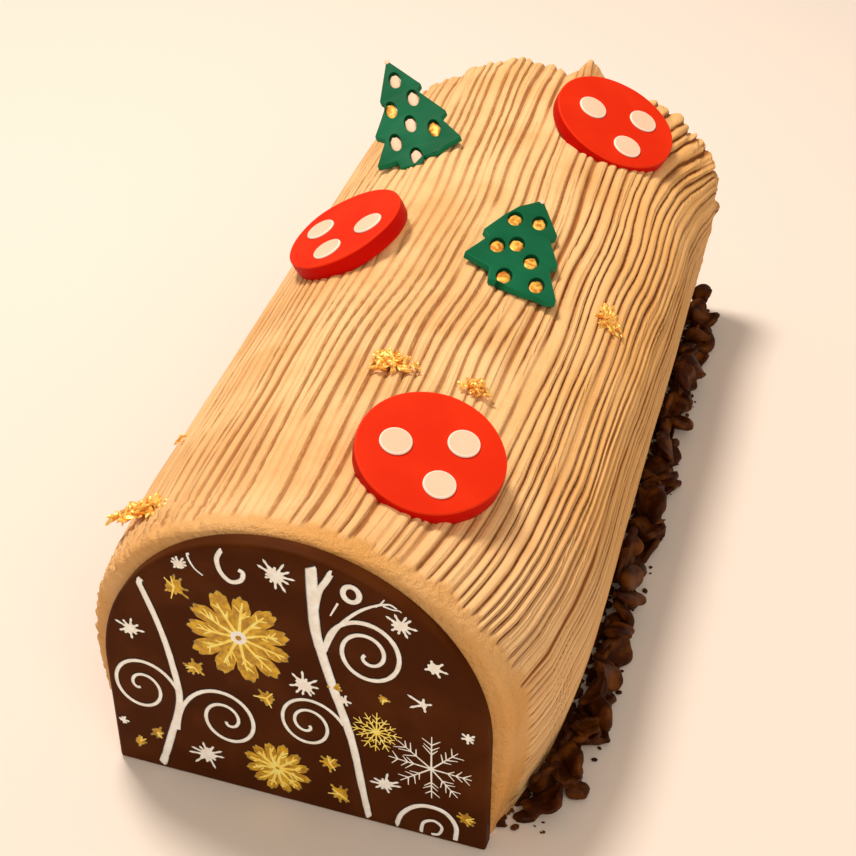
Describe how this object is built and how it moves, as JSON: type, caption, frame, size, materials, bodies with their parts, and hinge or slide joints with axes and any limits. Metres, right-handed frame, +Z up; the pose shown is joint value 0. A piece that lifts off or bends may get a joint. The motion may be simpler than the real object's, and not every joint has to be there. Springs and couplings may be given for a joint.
{
  "type": "yule log cake",
  "caption": "Half-round log cake with combed cream, a printed chocolate end plaque, dotted fondant discs, fir cut-outs, gold leaf and chocolate curls along its foot.",
  "frame": {"origin": "middle of the flat base that the log rests on, midway between the plaque's front face and the back end", "axes": "+Z up out of the base, +Y along the log from the plaque to the back end, +X to the right of someone who faces the plaque"},
  "size_m": [0.128, 0.2396, 0.0862],
  "materials": {
    "cream": "matte combed buttercream",
    "plaque": "satin dark chocolate with a print",
    "red_fondant": "satin sugar paste",
    "ivory_fondant": "satin sugar paste",
    "green_fondant": "satin sugar paste",
    "gold_leaf": "crumpled edible leaf",
    "chocolate": "satin dark chocolate"
  },
  "bodies": {
    "root": {"chip_l03": "chocolate", "chip_l07": "chocolate", "chip_l10": "chocolate", "chip_r03": "chocolate", "chip_r07": "chocolate", "chip_r09": "chocolate", "chip_r13": "chocolate", "chip_r16": "chocolate", "cream_log": "cream", "curl_l01": "chocolate", "curl_l04": "chocolate", "curl_l06": "chocolate", "curl_l08": "chocolate", "curl_l11": "chocolate", "curl_r04": "chocolate", "curl_r05": "chocolate", "curl_r06": "chocolate", "curl_r10": "chocolate", "curl_r12": "chocolate", "curl_r14": "chocolate", "curl_r17": "chocolate", "curl_r18": "chocolate", "disc_back": "red_fondant", "disc_front": "red_fondant", "disc_left": "red_fondant", "dot_back_1": "ivory_fondant", "dot_back_2": "ivory_fondant", "dot_back_3": "ivory_fondant", "dot_front_1": "ivory_fondant", "dot_front_2": "ivory_fondant", "dot_front_3": "ivory_fondant", "dot_left_1": "ivory_fondant", "dot_left_2": "ivory_fondant", "dot_left_3": "ivory_fondant", "end_plaque": "plaque", "gold_leaf_beside_disc": "gold_leaf", "gold_leaf_front": "gold_leaf", "gold_leaf_middle": "gold_leaf", "gold_leaf_right": "gold_leaf", "pebble_l02": "chocolate", "pebble_l05": "chocolate", "pebble_l09": "chocolate", "pebble_r02": "chocolate", "pebble_r08": "chocolate", "pebble_r11": "chocolate", "pebble_r15": "chocolate", "shard_r01": "chocolate", "shard_r19": "chocolate", "tree_left": "green_fondant", "tree_middle": "green_fondant"}
  },
  "joints": []
}
